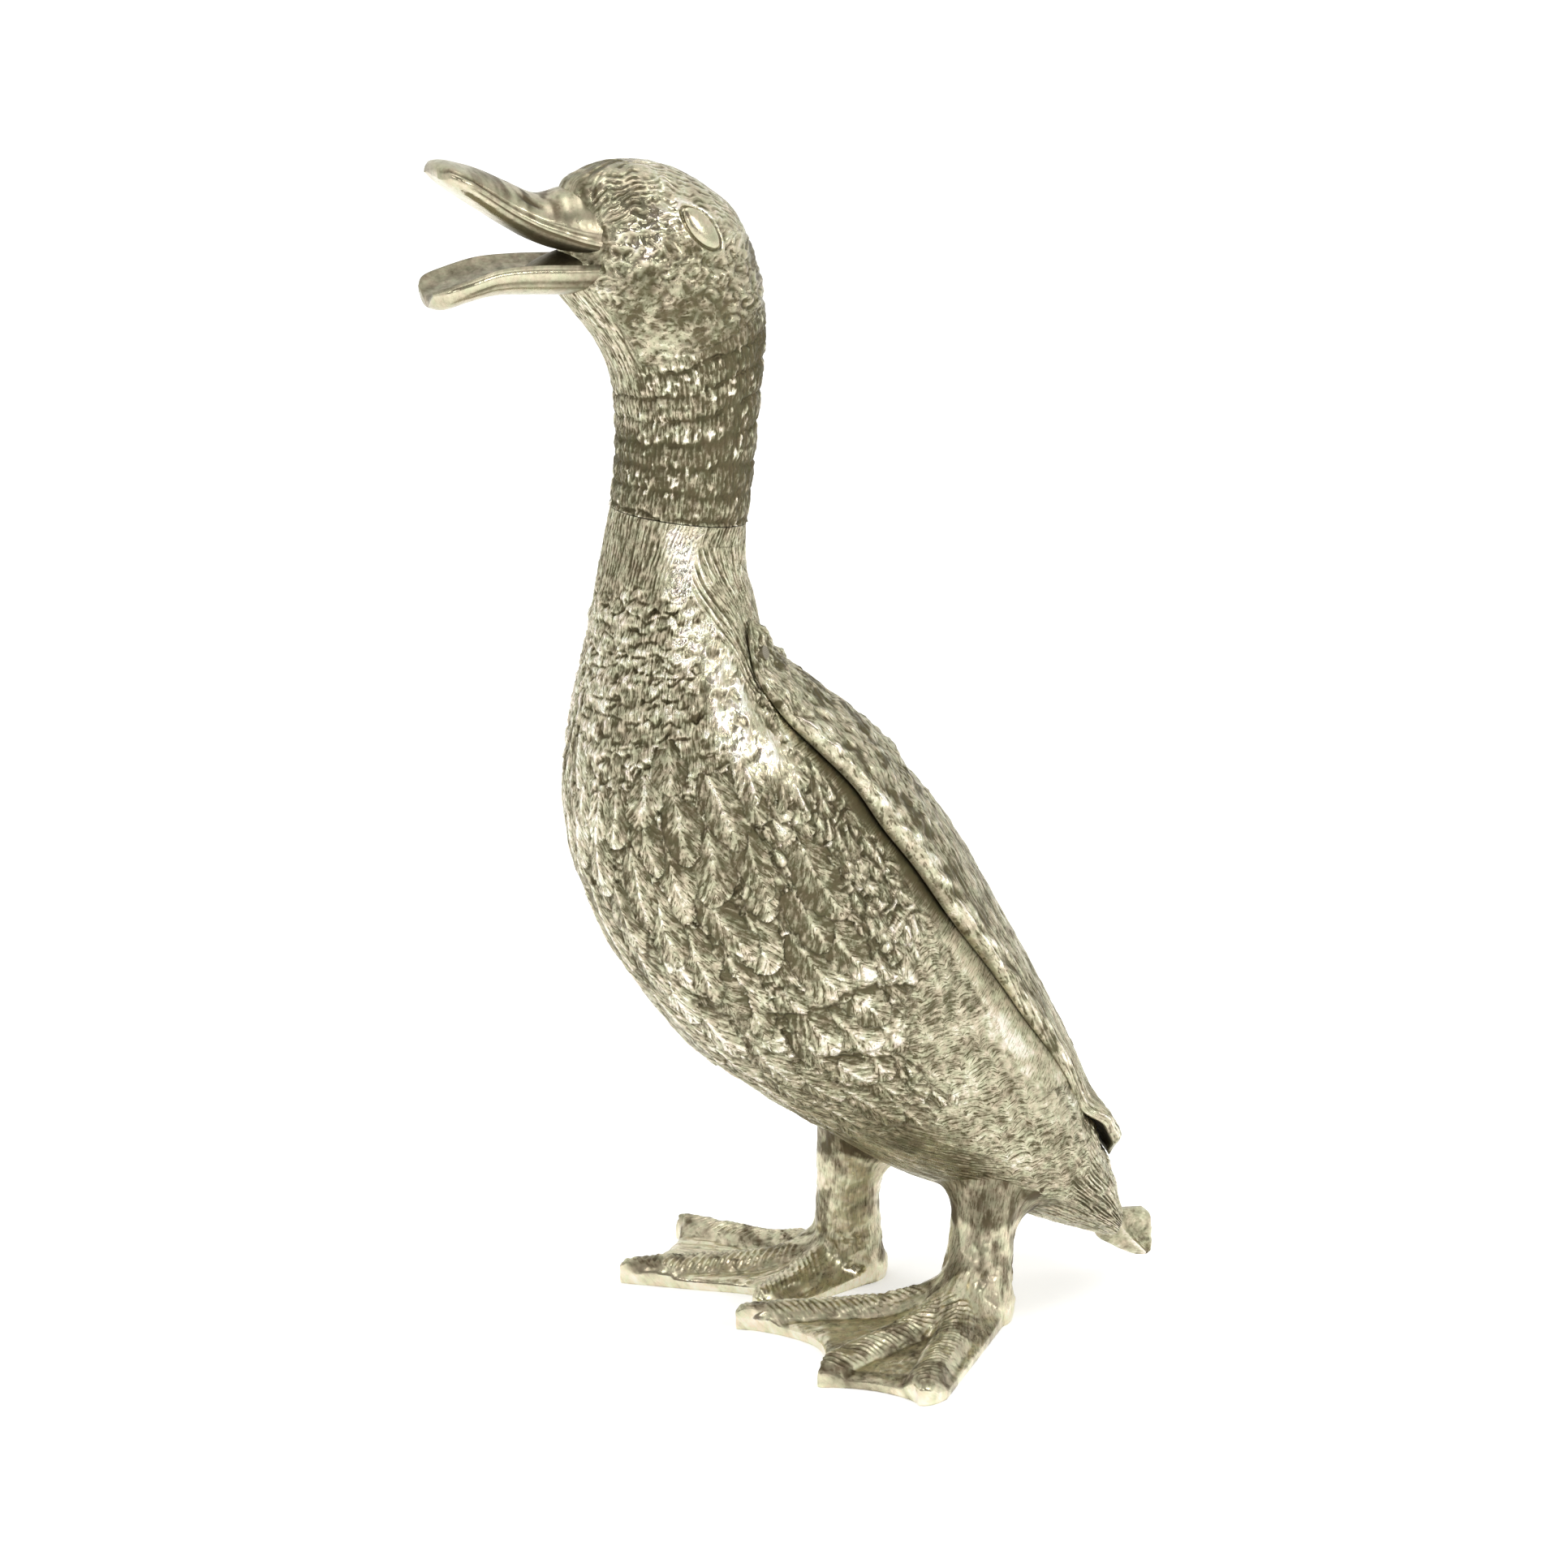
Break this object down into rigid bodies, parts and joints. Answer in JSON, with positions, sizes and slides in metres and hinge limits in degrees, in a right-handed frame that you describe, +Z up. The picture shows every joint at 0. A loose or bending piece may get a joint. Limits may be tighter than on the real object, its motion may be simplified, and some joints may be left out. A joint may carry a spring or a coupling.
{
  "type": "standing duck ornament",
  "caption": "Cast metal duck standing tall with its bill open, with separate wing plates, legs on webbed feet and a curled tail feather.",
  "frame": {"origin": "middle of the bounding box's base, on the ground plane under the feet", "axes": "+Z up, the duck faces -Y, its left side is +X"},
  "size_m": [0.145, 0.2052, 0.3181],
  "materials": {
    "silver": "aged silver plate, satin, with brown patina in the feather relief",
    "dark_silver": "tarnished plated metal",
    "brass": "plain turned brass",
    "steel": "plain threaded steel"
  },
  "bodies": {
    "root": {"body_shell": "silver", "head_shell": "silver", "lower_bill": "silver", "left_eye": "silver", "right_eye": "silver", "neck_sleeve": "brass", "left_wing": "silver", "right_wing": "silver", "left_wing_front_peg": "dark_silver", "left_wing_rear_peg": "dark_silver", "right_wing_front_peg": "dark_silver", "right_wing_rear_peg": "dark_silver", "left_leg": "silver", "right_leg": "silver", "left_leg_stud": "steel", "right_leg_stud": "steel", "left_leg_washer": "brass", "right_leg_washer": "brass", "left_leg_nut": "brass", "right_leg_nut": "brass", "tail_curl": "silver"}
  },
  "joints": []
}
